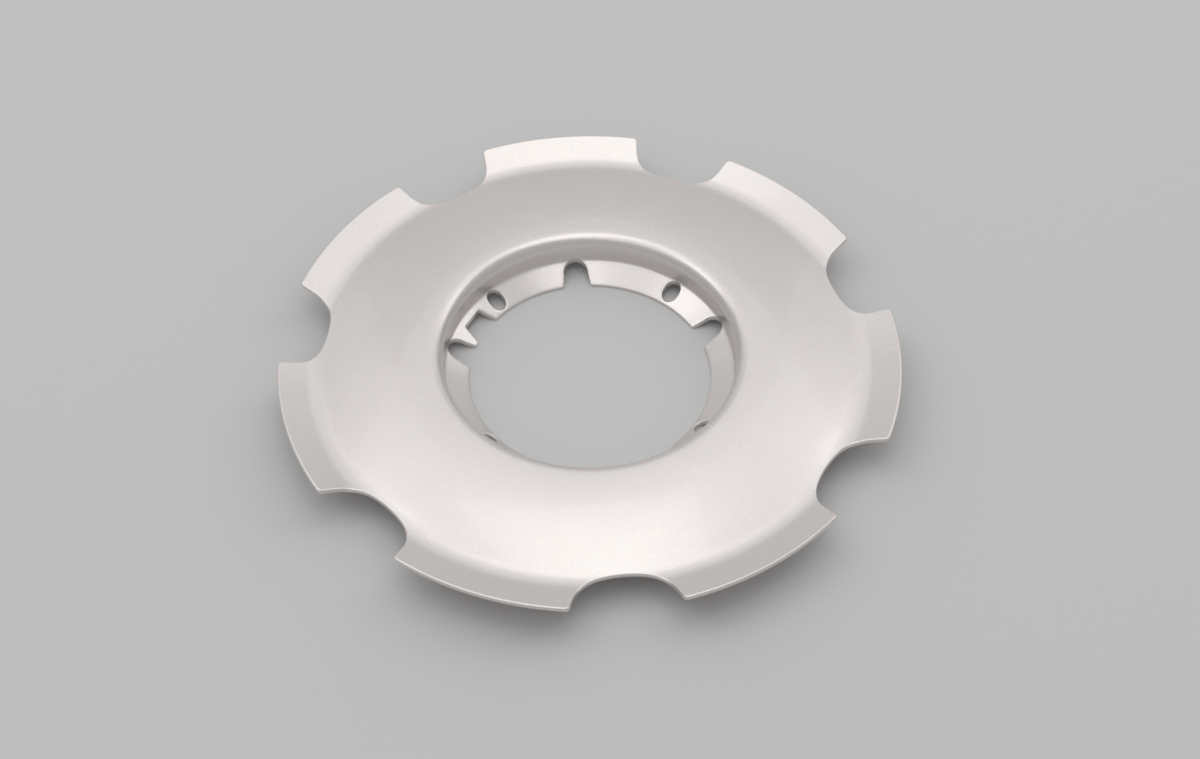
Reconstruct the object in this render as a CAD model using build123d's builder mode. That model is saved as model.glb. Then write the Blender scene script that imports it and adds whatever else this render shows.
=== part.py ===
"""Centre cap for a light-alloy wheel: one thin moulded ring, open in the middle.

The face is a shallow dome that falls from a rolled bead to a valley and turns up
again into a flared brim. The brim is cut away for each spoke of the wheel. Inside
the bead a short straight wall takes the badge, and below it a sloping flange,
pierced for the badge's clips, sits on the wheel's hub.

The origin is on the wheel's axis in the plane of the seat. +Z points out of the
wheel, and +Y runs through the middle of the tab over the first clip slot.
"""

import os
from math import atan2, cos, degrees, hypot, radians, sin, sqrt, tan

from build123d import *

# Moulding, in millimetres
wall = 1.5
upper_edge_round = 0.6
lower_edge_round = 0.3
flange_edge_round = 0.3

# Face, from the bead out to the rim
rim_diameter = 200.0
crest_height = 15.0
bead_round = 3.0
valley_diameter = 175.0
valley_height = 10.7
valley_round = 12.0
flare_angle = 20.5

# Badge recess and flange
recess_diameter = 94.4
flange_width = 7.65
flange_angle = 29.5
foot_round = 0.8
seat_land = 1.2

# Notches for the wheel's spokes
spoke_count = 7
notch_mouth = 33.7
notch_side_angle = 20.4
notch_floor_diameter = 172.2
notch_floor_bow = 37.9
notch_round = 10.8
tab_round = 1.6

# Clip slots, open to the bore, at angles from the first one
clip_angles = (0.0, 72.6, 150.9, -150.9, -72.6)
clip_slot_width = 8.0
clip_slot_flare = 9.0
clip_slot_land = 0.45
clip_nick_depth = 0.3
clip_nick_height = 0.9

# Relief holes between the clips, each leaving a land at the recess wall and at the bore
relief_angles = (39.6, 125.4, -130.2, -45.2)
relief_width = 5.5
relief_wall_land = 0.1
relief_bore_land = 1.05

# Keyway, open to the bore beside the second clip slot, that sets the badge's angle
key_width = 8.5
key_flare = 16.0
key_depth = 5.4
key_land = 1.93
flange_corner_round = 0.5

# Angles run from +Y, and LOWER and UPPER pick from edges sorted by height
first_angle = 90.0
tolerance = 0.01
LOWER = 0
UPPER = -1

# Worked out from the sizes above
spoke_pitch = 360.0 / spoke_count
rim_radius = rim_diameter / 2
valley_radius = valley_diameter / 2
recess_radius = recess_diameter / 2
bore_radius = recess_radius - flange_width
crest_radius = recess_radius + bead_round
overrun = 2 * wall
through = 2 * crest_height

# The dome leaves the crest level and enters the valley at twice its mean slope
dome_turn = 2 * atan2(crest_height - valley_height, valley_radius - crest_radius)
dome_end_radius = valley_radius - valley_round * sin(dome_turn)
dome_end_height = valley_height + valley_round * (1 - cos(dome_turn))

# The flange falls to the bore, and its lower corner is cut flat for the seat
flange_slope = tan(radians(flange_angle))
bore_edge_height = wall / cos(radians(flange_angle)) - seat_land * flange_slope
foot_height = bore_edge_height + flange_width * flange_slope

# A clip slot is a circle with two tangent sides, which flare out to its mouth at the bore
slot_half = clip_slot_width / 2
slot_centre = recess_radius - clip_slot_land - slot_half
slot_flare = radians(clip_slot_flare)
tangent_reach = slot_centre + slot_half * sin(slot_flare)
tangent_half = slot_half * cos(slot_flare)
slot_mouth_half = tangent_half + (tangent_reach - bore_radius) * tan(slot_flare)

# The keyway keeps its land beside the second clip slot
key_flare_slope = tan(radians(key_flare))
key_mouth_half = key_width / 2 + key_depth * key_flare_slope
key_angle = clip_angles[1] - degrees((slot_mouth_half + key_land + key_mouth_half) / bore_radius)


def lies_at(corner: Vertex, radius: float) -> bool:
    """True for a corner of a plan that stands at this distance from the axis."""
    return abs(hypot(corner.X, corner.Y) - radius) < tolerance


def upright(face: Face) -> bool:
    """True for a face that stands along the axis, as every wall of a cut does."""
    return abs(face.normal_at().Z) < tolerance


def is_past_crest(face: Face) -> bool:
    """True for a wall of the spoke outline: its middle lies out beyond the bead."""
    return hypot(face.center().X, face.center().Y) > crest_radius


def long_edge(face: Face, which: int) -> Edge:
    """The lowest (0) or highest (-1) edge of an upright face, its ends left out."""
    return face.edges().filter_by(Axis.Z, reverse=True).sort_by(Axis.Z)[which]


def skin(depth: float) -> Wire:
    """The section's line at this depth under the upper face, from inside the bore to past the rim."""
    sunk = depth / cos(radians(flange_angle))
    bore_end = (bore_radius - overrun, bore_edge_height - overrun * flange_slope - sunk)
    foot = (recess_radius + depth, foot_height + depth * flange_slope - sunk)
    bead_start = (recess_radius + depth, crest_height - bead_round)
    entry = (cos(dome_turn), -sin(dome_turn))
    dome_end = (dome_end_radius + depth * entry[1], dome_end_height - depth * entry[0])
    with BuildLine() as line:
        FilletPolyline(bore_end, foot, bead_start, radius=foot_round + depth)
        bead = JernArc(bead_start, (0, 1), bead_round - depth, -90)
        dome = Spline(bead @ 1, dome_end, tangents=((1, 0), entry))
        valley = JernArc(dome @ 1, entry, valley_round + depth, degrees(dome_turn) + flare_angle)
        flare_run = rim_radius + overrun - (valley @ 1).X
        PolarLine(valley @ 1, flare_run, flare_angle, length_mode=LengthMode.HORIZONTAL)
    return line.wire()


with BuildSketch() as spoke_notch:
    floor_radius = notch_floor_diameter / 2
    bow_centre = floor_radius + notch_floor_bow
    half = notch_mouth / 2
    lean = tan(radians(notch_side_angle))
    shoulder = sqrt(rim_radius**2 - half**2)
    outside = rim_radius + notch_mouth
    with BuildLine():
        Polyline(
            (floor_radius, half - (shoulder - floor_radius) * lean),
            (outside, half + (outside - shoulder) * lean),
            (outside, -half - (outside - shoulder) * lean),
            (floor_radius, -half + (shoulder - floor_radius) * lean),
            close=True,
        )
    make_face()
    with Locations((bow_centre, 0)):
        Circle(notch_floor_bow, mode=Mode.INTERSECT)
    fillet(spoke_notch.vertices().group_by(Axis.X)[0], notch_round)

with BuildSketch() as spoke_outline:
    Circle(rim_radius)
    with PolarLocations(0, spoke_count, start_angle=first_angle + spoke_pitch / 2):
        add(spoke_notch.sketch, mode=Mode.SUBTRACT)
    fillet(spoke_outline.vertices().filter_by(lambda v: lies_at(v, rim_radius)), tab_round)

with BuildSketch() as clip_slot:
    axis_half = tangent_half + tangent_reach * tan(slot_flare)
    with BuildLine():
        Polyline(
            (tangent_reach, tangent_half),
            (0, axis_half),
            (0, -axis_half),
            (tangent_reach, -tangent_half),
            close=True,
        )
    make_face()
    with Locations((slot_centre, 0)):
        Circle(slot_half)

with BuildSketch() as keyway:
    key_reach = bore_radius + key_depth
    axis_half = key_width / 2 + key_reach * key_flare_slope
    with BuildLine():
        Polyline(
            (key_reach, key_width / 2),
            (0, axis_half),
            (0, -axis_half),
            (key_reach, -key_width / 2),
            close=True,
        )
    make_face()
    fillet(keyway.vertices().group_by(Axis.X)[-1], flange_corner_round)

with BuildSketch() as flange_opening:
    Circle(bore_radius)
    for angle in clip_angles:
        with PolarLocations(0, 1, start_angle=first_angle + angle):
            add(clip_slot.sketch)
    with PolarLocations(0, 1, start_angle=first_angle + key_angle):
        add(keyway.sketch)
    fillet(flange_opening.vertices().filter_by(lambda v: lies_at(v, bore_radius)), flange_corner_round)

with BuildSketch() as clip_nicks:
    nick_centre = recess_radius + clip_nick_depth - slot_half
    for angle in clip_angles:
        with PolarLocations(nick_centre, 1, start_angle=first_angle + angle):
            Circle(slot_half)

with BuildSketch() as relief_holes:
    relief_length = flange_width - relief_wall_land - relief_bore_land
    hole_centre = recess_radius - relief_wall_land - relief_length / 2
    for angle in relief_angles:
        with PolarLocations(hole_centre, 1, start_angle=first_angle + angle):
            SlotOverall(relief_length, relief_width)

with BuildPart() as centre_cap:
    with BuildSketch(Plane.XZ) as section:
        with BuildLine():
            upper, lower = skin(0), skin(wall)
            add([upper, lower])
            Line(upper @ 0, lower @ 0)
            Line(upper @ 1, lower @ 1)
        make_face()
    revolve(axis=Axis.Z)

    # The spoke outline trims the rim, and what lies below the seat's plane goes with it
    extrude(spoke_outline.sketch, amount=through, mode=Mode.INTERSECT)
    for which, size in ((UPPER, upper_edge_round), (LOWER, lower_edge_round)):
        rim_walls = centre_cap.faces().filter_by(upright).filter_by(is_past_crest)
        fillet([long_edge(face, which) for face in rim_walls], size)

    for cut in (flange_opening, relief_holes):
        extrude(cut.sketch, amount=through, mode=Mode.SUBTRACT)
        cut_walls = centre_cap.faces(Select.LAST).filter_by(upright)
        fillet([long_edge(face, UPPER) for face in cut_walls], flange_edge_round)

    # Each clip slot runs on a little way into the foot of the recess wall
    extrude(clip_nicks.sketch, amount=foot_height + clip_nick_height, mode=Mode.SUBTRACT)

centre_cap.part.label = "centre_cap"

os.makedirs("parts", exist_ok=True)
export_step(centre_cap.part, "parts/centre_cap.step")
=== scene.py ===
"""Silver wheel centre cap: its moulding, its paint and the studio it is shown in.

The cap is one thin ring. Its section is a chain of lines and arcs that is sunk by the
wall for the lower face. One spoke's worth of the face, rim and back is laid out as a grid
and turned round the axis by a node tree; the flange inside the recess, with its slots and
holes at angles of their own, is filled between its outlines.
"""

from math import atan2, cos, pi, radians, sin, sqrt, tan

import bmesh
import bpy
import numpy as np
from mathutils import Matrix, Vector
from mathutils.geometry import delaunay_2d_cdt


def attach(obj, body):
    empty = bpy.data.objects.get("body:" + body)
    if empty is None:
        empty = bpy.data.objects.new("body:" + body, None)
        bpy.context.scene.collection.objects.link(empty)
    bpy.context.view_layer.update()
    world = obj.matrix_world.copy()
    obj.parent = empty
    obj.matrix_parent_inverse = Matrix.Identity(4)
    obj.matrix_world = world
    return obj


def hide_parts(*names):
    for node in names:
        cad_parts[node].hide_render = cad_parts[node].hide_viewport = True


bl_info = {
    "name": "Wheel Centre Cap",
    "version": (1, 0, 0),
    "blender": (4, 5, 0),
    "location": "View3D > Sidebar > Centre Cap",
    "description": "Moulds and paints a wheel's centre cap and sets up its studio",
    "category": "Object",
}

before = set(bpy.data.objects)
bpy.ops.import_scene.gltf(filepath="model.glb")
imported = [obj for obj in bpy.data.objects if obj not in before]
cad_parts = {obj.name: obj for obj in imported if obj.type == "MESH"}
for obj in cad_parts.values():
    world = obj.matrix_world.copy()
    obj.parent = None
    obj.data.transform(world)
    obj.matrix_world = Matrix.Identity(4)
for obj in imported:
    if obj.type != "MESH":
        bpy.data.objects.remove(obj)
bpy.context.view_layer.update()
MM = 0.001

# The side of an arc that the material lies on
OUTSIDE, INSIDE = 1, -1
# Which of a line's two crossings with a circle
NEARER, FARTHER = -1, 1

# Soft boxes: where each hangs, where it faces and how large it is, in metres
SOFT_BOXES = {
    "key": ((0.07, 0.03, 1.15), (0.07, 0.03, 0), (0.54, 0.94)),
    "ceiling": ((-0.12, 0.12, 1.2), (0, 0, 0), (2.2, 1.4)),
    "back": ((0.0, 1.5, 0.62), (0, 0, 0), (2.6, 1.1)),
    "back_left": ((-0.65, 1.0, 1.2), (0, 0, 0), (0.6, 0.9)),
    "back_right": ((0.85, 0.94, 1.14), (0, 0, 0), (0.6, 0.9)),
    "left": ((-1.027, 0.374, 1.302), (0, 0, 0), (0.6, 0.9)),
    "right": ((1.225, 0.495, 1.07), (0, 0, 0), (0.6, 0.9)),
}


def length(name, description, millimetres):
    return bpy.props.FloatProperty(
        name=name, description=description, unit="LENGTH", min=0, precision=4,
        default=millimetres * MM,
    )


def angle(name, description, degrees):
    return bpy.props.FloatProperty(
        name=name, description=description, subtype="ANGLE", unit="ROTATION",
        default=radians(degrees),
    )


def angles(name, description, *degrees):
    return bpy.props.FloatVectorProperty(
        name=name, description=description, size=len(degrees), subtype="NONE", unit="ROTATION",
        default=[radians(d) for d in degrees],
    )


def factor(name, description, default):
    return bpy.props.FloatProperty(
        name=name, description=description, subtype="FACTOR", min=0, max=1, default=default
    )


def power(name, description, watts):
    return bpy.props.FloatProperty(
        name=name, description=description, unit="POWER", min=0, default=watts
    )


class CapShape(bpy.types.PropertyGroup):
    """The moulding's sizes: the CAD source's, but for a fuller bead."""

    wall: length("Wall", "Thickness of the moulding", 1.5)
    rim_diameter: length("Rim", "Diameter over the brim's tabs", 200)
    rim_upper_round: length("Rim upper round", "On the upper edge of rim and notches", 0.6)
    rim_lower_round: length("Rim lower round", "On the lower edge of rim and notches", 0.3)
    crest_height: length("Crest height", "Top of the bead above the seat", 15)
    bead_round: length("Bead round", "Radius of the bead round the recess", 4)
    valley_diameter: length("Valley", "Diameter where the face is lowest", 175)
    valley_height: length("Valley height", "Lowest point of the face above the seat", 10.7)
    valley_round: length("Valley round", "Radius between dome and brim", 12)
    flare_angle: angle("Flare", "Rise of the brim", 20.5)

    recess_diameter: length("Recess", "Diameter of the badge's recess", 94.4)
    flange_width: length("Flange width", "From the recess wall to the bore", 7.65)
    flange_angle: angle("Flange slope", "Fall of the flange towards the bore", 29.5)
    foot_round: length("Foot round", "Between the flange and the recess wall", 0.8)
    seat_land: length("Seat land", "Flat ring under the flange's inner edge", 1.2)

    spoke_count: bpy.props.IntProperty(name="Spokes", description="Notches in the brim", min=3, default=7)
    notch_mouth: length("Notch mouth", "Width of a notch at the rim", 33.7)
    notch_side_angle: angle("Notch side", "Lean of a notch's sides", 20.4)
    notch_floor_diameter: length("Notch floor", "Diameter at the middle of the notches' floors", 172.2)
    notch_floor_bow: length("Floor bow", "Radius of a notch's bowed floor", 37.9)
    notch_round: length("Notch round", "Radius of a notch's inner corners", 10.8)
    tab_round: length("Tab round", "Radius of the tabs' corners", 1.6)

    first_angle: angle("First angle", "Where the first clip slot and its tab stand", 90)
    clip_angles: angles("Clip angles", "Clip slots, from the first one", 0, 72.6, 150.9, -150.9, -72.6)
    clip_slot_width: length("Clip slot", "Width of a clip slot's round end", 8)
    clip_slot_flare: angle("Clip flare", "Lean of a clip slot's sides", 9)
    clip_slot_land: length("Clip land", "From a slot's end to the recess wall", 0.45)
    clip_nick_depth: length("Nick depth", "How far a clip slot cuts into the recess wall", 0.3)
    clip_nick_height: length("Nick height", "Of that cut, above the flange's corner", 0.9)

    relief_angles: angles(
        "Relief angles", "Relief holes, from the first clip slot", 39.6, 125.4, -130.2, -45.2
    )
    relief_width: length("Relief width", "Of a relief hole", 5.5)
    relief_wall_land: length("Relief wall land", "From a relief hole to the recess wall", 0.1)
    relief_bore_land: length("Relief bore land", "From a relief hole to the bore", 1.05)

    key_angle: angle("Keyway angle", "Of the keyway, from the first clip slot", 54.8)
    key_width: length("Keyway width", "Of the keyway's flat end", 8.5)
    key_flare: angle("Keyway flare", "Lean of the keyway's sides", 16)
    key_depth: length("Keyway depth", "From the bore to the keyway's end", 5.4)
    flange_corner_round: length("Flange corners", "Corners of the flange's cuts, in plan", 0.5)
    flange_edge_round: length("Flange upper round", "Upper edge of the flange's cuts", 0.3)
    flange_lower_round: length("Flange lower round", "Lower edge of the flange's cuts", 0.1)


class CapMesh(bpy.types.PropertyGroup):
    """How finely the moulding is meshed."""

    join_height: length("Join height", "Where the turned sectors end in the recess wall", 8)
    brim_start: length("Brim start", "Radius past which the grid fits itself to the notches", 80)
    edge_margin: length("Edge margin", "From an edge's round to the next row of the grid", 0.15)
    flange_step: length("Flange step", "Spacing of points along the bore", 0.9)
    weld: bpy.props.FloatProperty(
        name="Weld", description="Points nearer than this become one", unit="LENGTH", min=0,
        precision=6, default=2e-6,
    )
    crease: angle("Crease", "Edges that turn by more than this stay sharp", 38)


class CapPaint(bpy.types.PropertyGroup):
    """The cap's silver paint."""

    colour: bpy.props.FloatVectorProperty(
        name="Colour", description="Base colour of the silver coat, linear", subtype="COLOR", size=3,
        min=0, max=1, default=(0.79, 0.745, 0.722),
    )
    metallic: factor("Metallic", "Share of metal flake in the paint", 0.92)
    roughness: factor("Roughness", "Spread of the flake's gloss on the face", 0.34)
    back_roughness: factor("Back roughness", "Drier spray on the back", 0.55)
    lacquer: factor("Lacquer", "Weight of the clear coat", 1.0)
    lacquer_roughness: factor("Lacquer roughness", "Spread of the clear coat's gloss", 0.04)
    flake_size: length("Flake size", "Spacing of the flakes that catch the light", 0.28)
    # Painted glints: how much the few brightest flakes are lightened in colour
    painted_glint: factor("Sparkle", "How much brighter the few best flakes are", 0.13)
    flake_tilt: factor("Flake tilt", "Height of a flake's step, as a share of the peel's", 0.06)
    peel_size: length("Peel size", "Width of the lacquer's slight waves", 2.6)
    peel_height: bpy.props.FloatProperty(
        name="Peel height", description="Height of the lacquer's slight waves", unit="LENGTH", min=0,
        precision=6, default=4e-6,
    )
    clouds: factor("Clouds", "How far the coat's brightness wanders", 0.04)
    smudges: factor("Smudges", "How far the roughness wanders", 0.05)


class Studio(bpy.types.PropertyGroup):
    """Floor, lamps and camera."""

    floor_colour: bpy.props.FloatVectorProperty(
        name="Floor", description="Colour of the floor, linear", subtype="COLOR", size=3, min=0, max=1,
        default=(0.66, 0.66, 0.66),
    )
    floor_roughness: factor("Floor roughness", "Spread of the floor's gloss", 0.85)
    floor_size: length("Floor size", "Side of the square floor", 8000)
    key_power: power("Key", "Power of the soft box over the cap", 0.93)
    key_turn: angle("Key turn", "Turn of that box about the vertical", 10)
    ceiling_power: power("Ceiling", "Power of the wide, weak light above it", 4.05)
    back_power: power("Back", "Power of the soft box behind the cap", 1.38)
    corner_power: power("Corners", "Power of each of the two boxes at the back corners", 0.5)
    side_power: power("Sides", "Power of each of the two boxes at the sides", 1.57)
    room_light: bpy.props.FloatProperty(
        name="Room light", description="Strength of the light from all round", min=0, default=0.45
    )
    focal_length: bpy.props.FloatProperty(
        name="Focal length", description="Of the camera, on a 36 mm sensor", unit="CAMERA", default=55.02
    )
    camera_place: bpy.props.FloatVectorProperty(
        name="Camera place", description="In front of the cap, a little to the left", subtype="TRANSLATION",
        unit="LENGTH", size=3, default=(-0.0396, -0.3847, 0.4593),
    )
    camera_turn: bpy.props.FloatVectorProperty(
        name="Camera turn", description="Looks down on the cap at about 50 degrees", subtype="EULER",
        size=3, default=(radians(39.965), radians(0.122), radians(-6.510)),
    )


class Section:
    """The cap's turned section: a chain of lines and arcs, sunk by any depth under the upper face."""

    def __init__(self, shape):
        self.wall = shape.wall
        self.bead_round = shape.bead_round
        self.foot_round = shape.foot_round
        self.flange_angle = shape.flange_angle
        self.flare_angle = shape.flare_angle
        self.valley_round = shape.valley_round
        self.recess = shape.recess_diameter / 2
        self.bore = self.recess - shape.flange_width
        self.crest = self.recess + shape.bead_round
        self.valley = shape.valley_diameter / 2
        self.bead_height = shape.crest_height - shape.bead_round
        slope = tan(shape.flange_angle)
        self.bore_height = shape.wall / cos(shape.flange_angle) - shape.seat_land * slope
        self.corner_height = self.bore_height + shape.flange_width * slope
        self.foot = self.recess - shape.foot_round
        self.foot_height = self.bore_height + (self.foot - self.bore) * slope
        self.foot_height += shape.foot_round / cos(shape.flange_angle)
        run, fall = self.valley - self.crest, shape.crest_height - shape.valley_height
        self.dome_turn = 2 * atan2(fall, run)
        self.dome_round = run / sin(self.dome_turn) - shape.valley_round
        self.dome_height = shape.crest_height - self.dome_round
        self.hollow_height = shape.valley_height + shape.valley_round
        self.flare_start = self.valley + shape.valley_round * sin(shape.flare_angle)
        self.flare_height = self.hollow_height - shape.valley_round * cos(shape.flare_angle)

    def at(self, radius, depth):
        """Height of the face at a depth, and its normal outwards and upwards, at any radius."""
        radius, depth = np.broadcast_arrays(np.asarray(radius, float), np.asarray(depth, float))

        def line(start, height, slope):
            rise = height + (radius - start) * tan(slope) - depth / cos(slope)
            return rise, np.full_like(radius, -sin(slope)), np.full_like(radius, cos(slope))

        def arc(centre, height, reach, side):
            up = np.sqrt(np.maximum(reach**2 - (radius - centre) ** 2, 0))
            return height + side * up, side * (radius - centre) / reach, up / reach

        hollow, raised, to_wall = -1, 1, 1e-9
        foot_round, valley_round = self.foot_round + depth, self.valley_round + depth
        dome_round = self.dome_round - depth
        flange_end = self.foot + foot_round * sin(self.flange_angle)
        dome_end = self.crest + dome_round * sin(self.dome_turn)
        valley_end = self.valley + valley_round * sin(self.flare_angle)
        stretches = (
            (flange_end, line(self.bore, self.bore_height, self.flange_angle)),
            (self.recess + depth + to_wall, arc(self.foot, self.foot_height, foot_round, hollow)),
            (self.crest, arc(self.crest, self.bead_height, self.bead_round - depth, raised)),
            (dome_end, arc(self.crest, self.dome_height, dome_round, raised)),
            (valley_end, arc(self.valley, self.hollow_height, valley_round, hollow)),
            (np.full_like(radius, np.inf), line(self.flare_start, self.flare_height, self.flare_angle)),
        )
        ends, values = zip(*stretches)
        inside = [radius <= end for end in ends]
        return tuple(np.select(inside, choices) for choices in zip(*values))

    def underside(self, radius, inset):
        """The same for the lower face, raised by an inset; the seat's plane cuts it off."""
        height, across, up = self.at(radius, self.wall - np.asarray(inset, float))
        flat = height < inset
        return np.where(flat, inset, height), np.where(flat, 0, across), np.where(flat, 1, up)


def polar(radius, turn, height):
    """Points from their distance from the axis, their angle round it and their height."""
    radius, turn, height = np.broadcast_arrays(radius, turn, height)
    return np.stack([radius * np.cos(turn), radius * np.sin(turn), height], axis=-1)


def heading(turn):
    return np.array([cos(turn), sin(turn)])


def bearing(way):
    return atan2(way[1], way[0])


def turned(plan, turn):
    """Plan points or directions, turned about the axis."""
    return plan @ np.array([heading(turn), [-sin(turn), cos(turn)]])


def meet(base, along, pivot, reach, which):
    """The point of a line that lies this far from a pivot: the nearer one or the farther one."""
    gap = base - pivot
    back = gap @ along
    return base + along * (which * sqrt(back * back - gap @ gap + reach**2) - back)


def between(start, end, share):
    """A direction on the way from one to another, turned through equal angles."""
    turn = np.arccos(np.clip((start * end).sum(-1), -1, 1))[..., None]
    return (np.sin((1 - share) * turn) * start + np.sin(share * turn) * end) / np.sin(turn)


class Outline:
    """Plan points of a cut's edge, each with the direction into the material."""

    def __init__(self):
        self.points, self.inward, self.in_wall = [], [], []

    def point(self, place, inward, in_wall=False):
        self.points.append(place)
        self.inward.append(inward)
        self.in_wall.append(in_wall)

    def arc(self, centre, radius, first, last, material, steps, in_wall=False):
        """A run of an arc, with the material outside it or inside."""
        for turn in np.linspace(first, last, steps + 1):
            self.point(centre + radius * heading(turn), material * heading(turn), in_wall)

    def run(self, start, end, inward, steps):
        """A straight run between two points that are there already, so both ends are left out."""
        for along in np.linspace(0, 1, steps + 1)[1:-1]:
            self.point(start + along * (end - start), inward)

    def mirrored(self, turn):
        """The outline with its mirror image before it, the mirror line turned to an angle."""
        flip = np.array([1, -1])
        points, inward, in_wall = (np.array(v) for v in (self.points, self.inward, self.in_wall))
        return (
            turned(np.concatenate([points[:0:-1] * flip, points]), turn),
            turned(np.concatenate([inward[:0:-1] * flip, inward]), turn),
            np.concatenate([in_wall[:0:-1], in_wall]),
        )


def spoke_edge(shape):
    """The rim's edge from tab to tab round the spoke notch that lies along +X."""
    rim, bow = shape.rim_diameter / 2, shape.notch_floor_bow
    tab_round, notch_round = shape.tab_round, shape.notch_round
    axis = np.zeros(2)
    bow_centre = np.array([shape.notch_floor_diameter / 2 + bow, 0])
    mouth_half = shape.notch_mouth / 2
    mouth = np.array([sqrt(rim**2 - mouth_half**2), mouth_half])
    along = heading(shape.notch_side_angle)
    into_notch = np.array([along[1], -along[0]])
    corner = meet(mouth + notch_round * into_notch, along, bow_centre, bow - notch_round, NEARER)
    tab = meet(mouth - tab_round * into_notch, along, axis, rim - tab_round, FARTHER)
    side_start, side_end = corner - notch_round * into_notch, tab + tab_round * into_notch
    floor_end = bearing(corner - bow_centre)
    half = Outline()
    half.arc(bow_centre, bow, pi, floor_end, OUTSIDE, steps=5)
    half.arc(corner, notch_round, floor_end, bearing(-into_notch), OUTSIDE, steps=10)
    half.run(side_start, side_end, -into_notch, steps=6)
    half.arc(tab, tab_round, bearing(into_notch), bearing(tab), INSIDE, steps=6)
    half.arc(axis, rim, bearing(tab), pi / shape.spoke_count, INSIDE, steps=12)
    return half.mirrored(0)


def flared_side(half, shape, section, side_point, flare):
    """Runs from the last point of a cut's end out to the bore, with a rounded corner at the mouth."""
    corner_round = shape.flange_corner_round
    axis, mouth = np.zeros(2), section.bore + corner_round
    inward = np.array([sin(flare), cos(flare)])
    along = np.array([-cos(flare), sin(flare)])
    corner = meet(side_point + corner_round * inward, along, axis, mouth, NEARER)
    half.run(half.points[-1], corner - corner_round * inward, inward, steps=8)
    half.arc(corner, corner_round, bearing(-inward), bearing(-corner), INSIDE, steps=5)


def clip_slot(shape, section):
    """Half a clip slot along +X, from its end in the foot of the recess wall to the bore."""
    end_round = shape.clip_slot_width / 2
    slot = section.recess - shape.clip_slot_land - end_round
    nick = np.array([section.recess + shape.clip_nick_depth - end_round, 0])
    side = np.array([slot, 0]) + end_round * heading(pi / 2 - shape.clip_slot_flare)
    leave = meet(side, heading(pi - shape.clip_slot_flare), nick, end_round, FARTHER)
    wall_x = (section.recess**2 - end_round**2 + nick[0] ** 2) / (2 * nick[0])
    wall_turn = atan2(sqrt(section.recess**2 - wall_x**2), wall_x - nick[0])
    half = Outline()
    half.arc(nick, end_round, 0, wall_turn, OUTSIDE, steps=4, in_wall=True)
    half.arc(nick, end_round, wall_turn, bearing(leave - nick), OUTSIDE, steps=12)
    flared_side(half, shape, section, side, shape.clip_slot_flare)
    return half


def keyway(shape, section):
    """Half the keyway along +X, from the middle of its flat end to the bore."""
    flare, corner_round = shape.key_flare, shape.flange_corner_round
    reach, end_half = section.bore + shape.key_depth, shape.key_width / 2
    end, outwards = np.array([reach, 0]), heading(0)
    corner_half = end_half - corner_round * (1 - sin(flare)) / cos(flare)
    corner = np.array([reach - corner_round, corner_half])
    half = Outline()
    half.point(end, outwards)
    half.run(end, corner + corner_round * outwards, outwards, steps=5)
    half.arc(corner, corner_round, 0, pi / 2 - flare, OUTSIDE, steps=5)
    flared_side(half, shape, section, np.array([reach, end_half]), flare)
    return half


def opening_edge(shape, mesh, section):
    """The flange's inner edge, once round: bore, clip slots and keyway."""
    slot = clip_slot(shape, section)
    cuts = [(turn, slot) for turn in shape.clip_angles] + [(shape.key_angle, keyway(shape, section))]
    cuts = [half.mirrored(shape.first_angle + turn) for turn, half in sorted(cuts, key=lambda cut: cut[0])]
    runs = []
    for cut, following in zip(cuts, cuts[1:] + cuts[:1]):
        start, stop = bearing(cut[0][-1]), bearing(following[0][0])
        stop += 2 * pi * (stop < start)
        steps = max(2, int(section.bore * (stop - start) / mesh.flange_step))
        way = polar(1, np.linspace(start, stop, steps + 1)[1:-1], 0)[:, :2]
        runs += [cut, (section.bore * way, way, np.zeros(len(way), bool))]
    return tuple(np.concatenate(parts) for parts in zip(*runs))


def relief_edge(shape, section, turn):
    """A relief hole's edge, once round: a short slot that points at the axis."""
    slot_length = shape.flange_width - shape.relief_wall_land - shape.relief_bore_land
    end_round = shape.relief_width / 2
    middle = section.recess - shape.relief_wall_land - slot_length / 2
    offset = slot_length / 2 - end_round
    loop = Outline()
    for end, start in ((middle + offset, -pi / 2), (middle - offset, pi / 2)):
        loop.arc(np.array([end, 0]), end_round, start, start + pi, OUTSIDE, steps=18)
    return turned(np.array(loop.points), turn), turned(np.array(loop.inward), turn), np.array(loop.in_wall)


def edge_rows(section, plan, inward, upper_round, lower_round, upper_steps, lower_steps):
    """Rows of points over a cut's edge: its upper round, then its wall and its lower round."""
    outward = np.column_stack([-inward, np.zeros(len(plan))])
    upper = section.at, upper_round, upper_steps
    lower = section.underside, lower_round, lower_steps
    rows = []
    for face, rounding, steps in (upper, lower):
        rounding = np.broadcast_to(rounding, len(plan))
        centre = plan + inward * rounding[:, None]
        radius = np.hypot(*centre.T)
        height, across, up = face(radius, rounding)
        normal = np.column_stack([centre * (across / radius)[:, None], up])
        centre = np.column_stack([centre, height])
        first, last = (outward, -normal) if rows else (normal, outward)
        rows += [centre + rounding[:, None] * between(first, last, s) for s in np.linspace(0, 1, steps + 1)]
    return rows


def cut_rows(shape, section, plan, inward, in_wall):
    """The same for a cut in the flange, whose clip slots end in flat roofed nicks in the recess wall."""
    steps, thinnest = 4, 0.2
    reach, turn = np.hypot(*plan.T), np.arctan2(plan[:, 1], plan[:, 0])
    room = np.clip((section.recess - reach) / 2, thinnest * shape.flange_edge_round, shape.flange_edge_round)
    rows = edge_rows(section, plan, inward, room, shape.flange_lower_round, steps, lower_steps=2)
    roof = section.corner_height + shape.clip_nick_height
    for i in range(steps + 1):
        across = section.recess + i / steps * (reach - section.recess)
        rows[i] = np.where(in_wall[:, None], polar(across, turn, roof), rows[i])
    return rows


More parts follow.
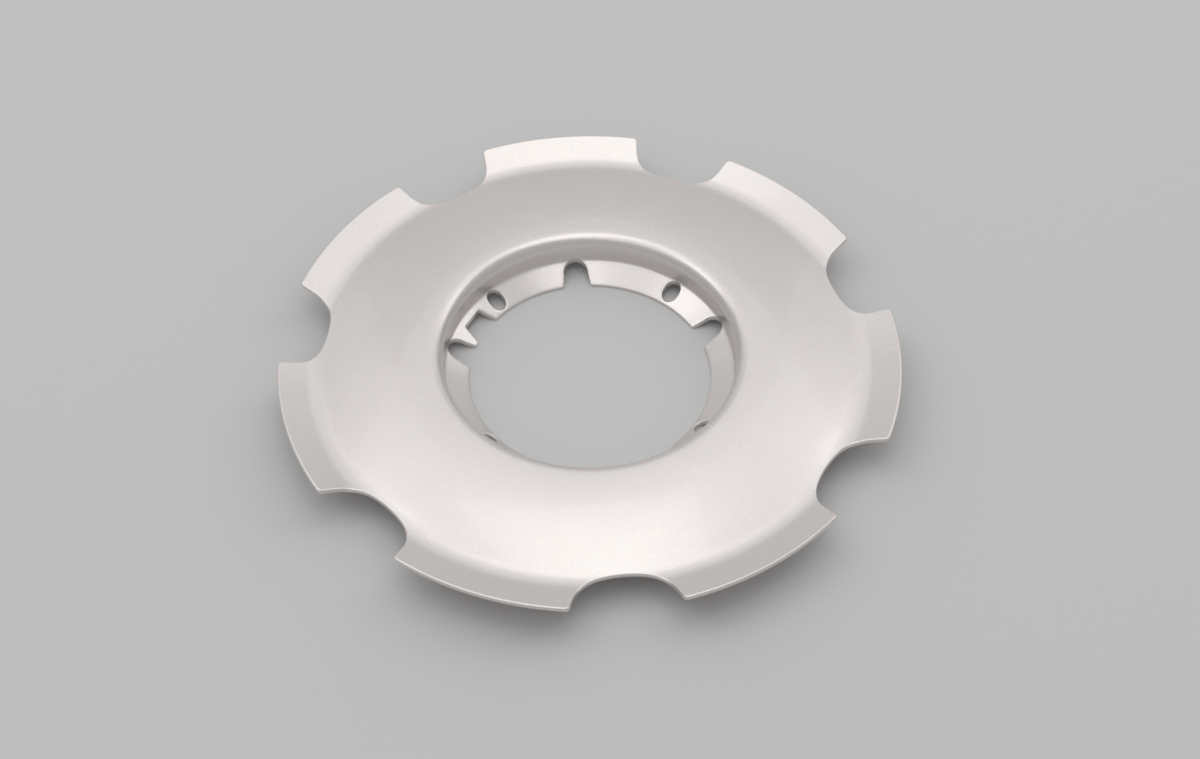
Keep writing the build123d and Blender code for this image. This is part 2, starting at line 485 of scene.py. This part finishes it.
def sector_rows(shape, mesh, section):
    """One spoke's worth of the cap in rows: recess wall, bead, dome and brim, the rim's edge, and back."""
    plan, inward, _ = spoke_edge(shape)
    rounds = shape.rim_upper_round, shape.rim_lower_round
    edge = edge_rows(section, plan, inward, *rounds, upper_steps=5, lower_steps=3)
    # The rows are those of wall, bead, dome and brim; the back makes do with fewer
    upper = 0, edge[0], (3, 8, 20, 22)
    lower = shape.wall, edge[-1], (2, 5, 13, 14)
    skins = []
    for depth, rim, (wall_rows, bead_rows, dome_rows, brim_rows) in (upper, lower):
        turn, reach = np.arctan2(rim[:, 1], rim[:, 0]), np.hypot(rim[:, 0], rim[:, 1])
        wall_heights = np.linspace(mesh.join_height, section.bead_height, wall_rows + 1)[:-1]
        skin = [polar(section.recess + depth, turn, height) for height in wall_heights]
        for bead_turn in np.linspace(pi, pi / 2, bead_rows + 1)[:-1]:
            across, up = (shape.bead_round - depth) * heading(bead_turn)
            skin.append(polar(section.crest + across, turn, section.bead_height + up))
        brim_width = reach - mesh.edge_margin - mesh.brim_start
        radii = list(np.linspace(section.crest, mesh.brim_start, dome_rows + 1)[:-1])
        radii += [mesh.brim_start + s * brim_width for s in np.linspace(0, 1, brim_rows + 1)]
        skin += [polar(radius, turn, section.at(radius, depth)[0]) for radius in radii]
        skins.append(skin)
    return skins[0] + edge + skins[1][::-1]


def grid(rows, closed=False):
    """Points and quads of rows that all have as many points."""
    count = len(rows[0])
    row, column = np.mgrid[: len(rows) - 1, : count if closed else count - 1]
    here, following = row * count, (column + 1) % count
    corners = here + column, here + following, here + count + following, here + count + column
    return np.concatenate(rows), np.stack([c.ravel() for c in corners], axis=-1).tolist()


def laid_flat(points):
    """The flange and its wall laid flat, in millimetres: the height adds to the distance from the axis."""
    reach = np.hypot(points[:, 0], points[:, 1])
    return points[:, :2] * ((reach + points[:, 2]) / reach / MM)[:, None]


def hub_lattice(shape, mesh, section, depth):
    """Rings of points over the hub's skin at a depth, each with the gap in mm that it keeps to the edges."""
    wide, close = (300, 0.55), (480, 0.34)
    foot_round = section.foot_round + depth
    slope_end = section.foot + foot_round * sin(section.flange_angle)
    slope_start = section.bore + (shape.seat_land if depth else 0)
    rings = [(radius, 0.0, wide) for radius in np.linspace(section.bore, slope_start, 4)[1:-1] if depth]
    if depth:
        rings.append((slope_start, 0.0, close))
    for radius in np.linspace(slope_start, slope_end, 9)[1:-1]:
        rings.append((radius, float(section.at(radius, depth)[0]), wide))
    for turn in np.linspace(section.flange_angle - pi / 2, 0, 6):
        across, up = foot_round * heading(turn)
        rings.append((section.foot + across, section.foot_height + up, close))
    for height in np.linspace(section.foot_height, mesh.join_height, 4)[1:-1]:
        rings.append((section.recess + depth, height, close))
    return [(polar(r, np.arange(count) * 2 * pi / count, z), gap) for r, z, (count, gap) in rings]


def fill(ring, loops, lattice):
    """Triangles of a skin between its outer ring and the cuts' loops."""
    points = np.concatenate([ring, *loops])
    borders, start = [], 0
    for border in (ring, *loops):
        borders.append(list(range(start, start + len(border))))
        start += len(border)
    edges_flat = laid_flat(points)
    for row, gap in lattice:
        distance = np.linalg.norm(laid_flat(row)[:, None] - edges_flat[None], axis=-1).min(1)
        points = np.concatenate([points, row[distance > gap]])
    flat = [Vector(p) for p in laid_flat(points)]
    whole_hull, epsilon, only_ring = 0, 1e-7, [0]
    _, _, triangles, source, _, owners = delaunay_2d_cdt(flat, [], borders, whole_hull, epsilon)
    skin = [[source[v][0] for v in t] for t, owner in zip(triangles, owners) if list(owner) == only_ring]
    return points, skin


def hub_parts(shape, mesh, section, sector):
    """The flange with its cuts and the foot of the recess wall, as points and faces."""
    cuts = [opening_edge(shape, mesh, section)]
    cuts += [relief_edge(shape, section, shape.first_angle + turn) for turn in shape.relief_angles]
    edges = [cut_rows(shape, section, *cut) for cut in cuts]
    parts = [grid(rows, closed=True) for rows in edges]
    pitch, upper, lower = 2 * pi / shape.spoke_count, 0, -1
    notches = shape.first_angle + pitch * (np.arange(shape.spoke_count) + 0.5)
    for depth, which in ((0.0, upper), (shape.wall, lower)):
        turns = np.arctan2(sector[which][:-1, 1], sector[which][:-1, 0])
        ring = polar(section.recess + depth, (notches[:, None] + turns).ravel(), mesh.join_height)
        parts.append(fill(ring, [rows[which] for rows in edges], hub_lattice(shape, mesh, section, depth)))
    return parts


class Tree:
    """Short calls to add and join a tree's nodes."""

    def __init__(self, tree):
        self.tree = tree

    def add(self, kind, **values):
        """Adds a node; a name in values is one of its settings, or else one of its inputs."""
        node = self.tree.nodes.new(kind)
        for name, value in values.items():
            if hasattr(node, name):
                setattr(node, name, value)
            else:
                node.inputs[name.replace("_", " ")].default_value = value
        return node

    def join(self, *pairs):
        for source, target in pairs:
            self.tree.links.new(source, target)

    def math(self, operation, *terms):
        """A Math node's result; its terms are sockets or numbers."""
        node = self.add("ShaderNodeMath", operation=operation)
        for term, socket in zip(terms, node.inputs):
            if isinstance(term, bpy.types.NodeSocket):
                self.join((term, socket))
            else:
                socket.default_value = term
        return node.outputs[0]


def new_piece(name, parts, paint):
    """A painted object made of several lots of points and faces."""
    points = np.concatenate([p for p, _ in parts])
    faces, start = [], 0
    for part, part_faces in parts:
        faces += [[start + v for v in face] for face in part_faces]
        start += len(part)
    mesh = bpy.data.meshes.new(name)
    mesh.from_pydata(points.tolist(), [], faces)
    mesh.materials.append(paint)
    piece = bpy.data.objects.new(name, mesh)
    bpy.context.scene.collection.objects.link(piece)
    return piece


def turned_sectors_tree():
    """A node tree that turns one sector round the axis, joins it to the hub and gives both the paint."""
    group = bpy.data.node_groups.new("turned_sectors", "GeometryNodeTree")
    for name, kind in (
        ("Hub", "Geometry"), ("Sector", "Object"), ("Spokes", "Int"), ("First Angle", "Float"),
        ("Paint", "Material"),
    ):
        group.interface.new_socket(name, in_out="INPUT", socket_type="NodeSocket" + kind)
    group.interface.new_socket("Cap", in_out="OUTPUT", socket_type="NodeSocketGeometry")
    tree = Tree(group)
    sizes = tree.add("NodeGroupInput").outputs
    sector = tree.add("GeometryNodeObjectInfo")
    posts = tree.add("GeometryNodePoints")
    order = tree.add("GeometryNodeInputIndex").outputs["Index"]
    # A notch stands half a pitch past the first angle, which is a tab's
    pitch = tree.math("DIVIDE", 2 * pi, sizes["Spokes"])
    turn = tree.math("MULTIPLY_ADD", tree.math("ADD", order, 0.5), pitch, sizes["First Angle"])
    rotation = tree.add("ShaderNodeCombineXYZ")
    spread = tree.add("GeometryNodeInstanceOnPoints")
    both = tree.add("GeometryNodeJoinGeometry")
    real = tree.add("GeometryNodeRealizeInstances")
    paint = tree.add("GeometryNodeSetMaterial")
    output = tree.add("NodeGroupOutput")
    tree.join(
        (sizes["Sector"], sector.inputs["Object"]),
        (sizes["Spokes"], posts.inputs["Count"]),
        (turn, rotation.inputs["Z"]),
        (posts.outputs[0], spread.inputs["Points"]),
        (sector.outputs["Geometry"], spread.inputs["Instance"]),
        (rotation.outputs["Vector"], spread.inputs["Rotation"]),
        (spread.outputs["Instances"], both.inputs["Geometry"]),
        (sizes["Hub"], both.inputs["Geometry"]),
        (both.outputs["Geometry"], real.inputs["Geometry"]),
        (real.outputs["Geometry"], paint.inputs["Geometry"]),
        (sizes["Paint"], paint.inputs["Material"]),
        (paint.outputs["Geometry"], output.inputs["Cap"]),
    )
    return group


def apply_tree(piece, group, **values):
    """Puts a node tree on a piece with its inputs set, and keeps the plain mesh that it makes."""
    modifier = piece.modifiers.new(group.name, "NODES")
    modifier.node_group = group
    for socket in group.interface.items_tree:
        name = socket.name.replace(" ", "_").lower()
        if socket.in_out == "INPUT" and name in values:
            modifier[socket.identifier] = values[name]
    depsgraph = bpy.context.evaluated_depsgraph_get()
    mesh = bpy.data.meshes.new_from_object(piece.evaluated_get(depsgraph))
    piece.modifiers.remove(modifier)
    mesh.name = piece.name
    piece.data = mesh


def finish_skin(piece, weld, crease):
    """Welds a piece's skin, turns its faces outwards and smooths all but its sharp edges."""
    skin = bmesh.new()
    skin.from_mesh(piece.data)
    bmesh.ops.remove_doubles(skin, verts=skin.verts, dist=weld)
    bmesh.ops.dissolve_degenerate(skin, edges=skin.edges, dist=weld / 2)
    bmesh.ops.delete(skin, geom=[v for v in skin.verts if not v.link_faces], context="VERTS")
    if any(len(edge.link_faces) != 2 for edge in skin.edges):
        raise RuntimeError("the cap's skin isn't closed")
    bmesh.ops.recalc_face_normals(skin, faces=skin.faces)
    for face in skin.faces:
        face.smooth = True
    skin.to_mesh(piece.data)
    skin.free()
    piece.data.set_sharp_from_angle(angle=crease)


def silver_paint(settings):
    """Metal flake under clear lacquer, with a drier coat on the back."""
    material = bpy.data.materials.new("lacquered_silver")
    material.use_nodes = True
    material.node_tree.nodes.clear()
    tree = Tree(material.node_tree)
    output = tree.add("ShaderNodeOutputMaterial")
    shader = tree.add("ShaderNodeBsdfPrincipled")
    shader.inputs["Metallic"].default_value = settings.metallic
    shader.inputs["Coat Weight"].default_value = settings.lacquer
    shader.inputs["Coat Roughness"].default_value = settings.lacquer_roughness
    place = tree.add("ShaderNodeTexCoord").outputs["Object"]
    clouds_per_metre, smudges_per_metre = 38.0, 95.0

    # Flakes: a few are lightened in colour as painted glints, so the rest are darkened a little to keep the
    # mean
    rarity = 8.0
    flakes = tree.add("ShaderNodeTexVoronoi", Scale=1 / settings.flake_size)
    shade = tree.add("ShaderNodeSeparateColor")
    clouds = tree.add("ShaderNodeTexNoise", Scale=clouds_per_metre, Detail=2.0)
    cloud = clouds.outputs["Fac"]
    cloud_share = tree.math("MULTIPLY_ADD", cloud, settings.clouds, 1 - settings.clouds / 2)
    painted_glint = tree.math("POWER", shade.outputs["Red"], rarity)
    mean_painted_glint = settings.painted_glint / (rarity + 1)
    flake_glint_share = tree.math("MULTIPLY_ADD", painted_glint, settings.painted_glint, 1 - mean_painted_glint)
    brightness = tree.math("MULTIPLY", cloud_share, flake_glint_share)
    colour = tree.add("ShaderNodeVectorMath", operation="SCALE")
    colour.inputs[0].default_value = settings.colour
    tree.join(
        (place, flakes.inputs["Vector"]),
        (place, clouds.inputs["Vector"]),
        (flakes.outputs["Color"], shade.inputs["Color"]),
        (brightness, colour.inputs["Scale"]),
        (colour.outputs["Vector"], shader.inputs["Base Color"]),
    )

    # The spray reaches the back only thinly
    normal = tree.add("ShaderNodeNewGeometry").outputs["Normal"]
    facing = tree.add("ShaderNodeSeparateXYZ")
    back = tree.add(
        "ShaderNodeMapRange", interpolation_type="SMOOTHSTEP", From_Min=0.1, From_Max=-0.5,
        To_Min=settings.roughness, To_Max=settings.back_roughness,
    )
    smudges = tree.add("ShaderNodeTexNoise", Scale=smudges_per_metre, Detail=4.0)
    smudge = smudges.outputs["Fac"]
    spread = tree.math("MULTIPLY_ADD", smudge, settings.smudges, -settings.smudges / 2)
    tree.join(
        (normal, facing.inputs["Vector"]),
        (facing.outputs["Z"], back.inputs["Value"]),
        (place, smudges.inputs["Vector"]),
        (tree.math("ADD", back.outputs["Result"], spread), shader.inputs["Roughness"]),
    )

    # Orange peel in the lacquer, and the flakes' tilt under it
    peel = tree.add("ShaderNodeTexNoise", Scale=1 / settings.peel_size, Detail=1.0)
    relief = tree.add("ShaderNodeBump", Strength=1.0, Distance=settings.peel_height)
    step = shade.outputs["Green"]
    height = tree.math("MULTIPLY_ADD", step, settings.flake_tilt, peel.outputs["Fac"])
    tree.join(
        (place, peel.inputs["Vector"]),
        (height, relief.inputs["Height"]),
        (relief.outputs["Normal"], shader.inputs["Normal"]),
        (shader.outputs["BSDF"], output.inputs["Surface"]),
    )
    return material


class CAP_OT_moulding(bpy.types.Operator):
    """Mould the cap from its sizes and paint it"""

    bl_idname = "centre_cap.moulding"
    bl_label = "Mould Cap"

    def execute(self, context):
        scene = context.scene
        shape, mesh, section = scene.cap_shape, scene.cap_mesh, Section(scene.cap_shape)
        paint = silver_paint(scene.cap_paint)
        rows = sector_rows(shape, mesh, section)
        sector = new_piece("sector", [grid(rows)], paint)
        cap = new_piece("cap_moulding", hub_parts(shape, mesh, section, rows), paint)
        apply_tree(
            cap, turned_sectors_tree(), sector=sector, spokes=shape.spoke_count,
            first_angle=shape.first_angle, paint=paint,
        )
        bpy.data.objects.remove(sector)
        finish_skin(cap, mesh.weld, mesh.crease)
        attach(cap, "root")
        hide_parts("centre_cap")
        return {"FINISHED"}


def soft_box(name, watts):
    """One of the soft boxes, hung in its place."""
    place, target, size = SOFT_BOXES[name]
    lamp = bpy.data.lights.new(name, "AREA")
    lamp.shape = "RECTANGLE"
    lamp.size, lamp.size_y = size
    lamp.energy = watts
    box = bpy.data.objects.new(name, lamp)
    box.location = place
    box.rotation_euler = (Vector(target) - Vector(place)).to_track_quat("-Z", "Y").to_euler()
    bpy.context.scene.collection.objects.link(box)
    return box


class CAP_OT_studio(bpy.types.Operator):
    """Lay the floor, hang the lamps and place the camera"""

    bl_idname = "centre_cap.studio"
    bl_label = "Set Up Studio"

    def execute(self, context):
        scene = context.scene
        studio = scene.cap_studio
        half = studio.floor_size / 2
        mesh = bpy.data.meshes.new("floor")
        corners = [(-half, -half, 0), (half, -half, 0), (half, half, 0), (-half, half, 0)]
        mesh.from_pydata(corners, [], [(0, 1, 2, 3)])
        floor = bpy.data.objects.new("floor", mesh)
        scene.collection.objects.link(floor)
        material = bpy.data.materials.new("floor_paper")
        material.use_nodes = True
        shader = material.node_tree.nodes["Principled BSDF"]
        shader.inputs["Base Color"].default_value = (*studio.floor_colour, 1)
        shader.inputs["Roughness"].default_value = studio.floor_roughness
        mesh.materials.append(material)

        key = soft_box("key", studio.key_power)
        key.rotation_euler.z += studio.key_turn
        soft_box("ceiling", studio.ceiling_power)
        soft_box("back", studio.back_power)
        soft_box("back_left", studio.corner_power)
        soft_box("back_right", studio.corner_power)
        soft_box("left", studio.side_power)
        soft_box("right", studio.side_power)

        world = bpy.data.worlds.new("room")
        world.use_nodes = True
        background = world.node_tree.nodes["Background"]
        background.inputs["Color"].default_value = (1, 1, 1, 1)
        background.inputs["Strength"].default_value = studio.room_light
        scene.world = world

        lens = bpy.data.cameras.new("camera")
        lens.lens = studio.focal_length
        lens.sensor_width = 36.0
        lens.clip_start = 0.01
        camera = bpy.data.objects.new("camera", lens)
        camera.location = studio.camera_place
        camera.rotation_euler = studio.camera_turn
        scene.collection.objects.link(camera)
        scene.camera = camera
        scene.view_settings.view_transform = "Standard"
        return {"FINISHED"}


class CAP_PT_sidebar(bpy.types.Panel):
    """The cap's steps and settings"""

    bl_idname = "CAP_PT_sidebar"
    bl_label = "Centre Cap"
    bl_space_type = "VIEW_3D"
    bl_region_type = "UI"
    bl_category = "Centre Cap"

    def draw(self, context):
        for name in SETTINGS:
            settings = getattr(context.scene, name)
            for field in settings.__annotations__:
                self.layout.prop(settings, field)
        for step in STEPS:
            self.layout.operator(step.bl_idname)


SETTINGS = {"cap_shape": CapShape, "cap_mesh": CapMesh, "cap_paint": CapPaint, "cap_studio": Studio}
STEPS = (CAP_OT_moulding, CAP_OT_studio)
CLASSES = (*SETTINGS.values(), *STEPS, CAP_PT_sidebar)


def register():
    for cls in CLASSES:
        bpy.utils.register_class(cls)
    for name, group in SETTINGS.items():
        setattr(bpy.types.Scene, name, bpy.props.PointerProperty(type=group))


def unregister():
    for name in SETTINGS:
        delattr(bpy.types.Scene, name)
    for cls in reversed(CLASSES):
        bpy.utils.unregister_class(cls)


def main():
    register()
    bpy.ops.centre_cap.moulding()
    bpy.ops.centre_cap.studio()


if __name__ == "__main__":
    main()
